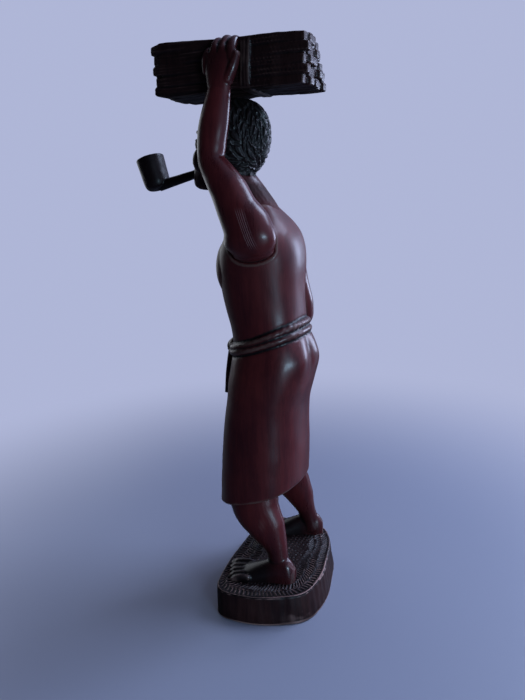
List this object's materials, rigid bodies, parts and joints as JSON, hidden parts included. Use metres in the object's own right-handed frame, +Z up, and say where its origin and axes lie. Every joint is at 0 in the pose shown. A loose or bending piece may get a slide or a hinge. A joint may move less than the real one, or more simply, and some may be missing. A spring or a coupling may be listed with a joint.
{
  "type": "carved figure",
  "caption": "Carved hardwood woman on a low block, in a belted dress, holding a bundle of firewood on her head with a raised arm and smoking a pipe.",
  "frame": {"origin": "near the middle of the block's flat underside", "axes": "+Z up, the woman's front looks to -Y, her left hand is on +X"},
  "size_m": [0.1137, 0.149, 0.4051],
  "materials": {
    "red_wood": "waxed and polished red-brown hardwood, nearly black in the cuts, on the hair, the firewood and the block's top",
    "dark_wood": "waxed dark hardwood"
  },
  "bodies": {
    "root": {"figure": "red_wood", "pipe": "dark_wood"}
  },
  "joints": []
}
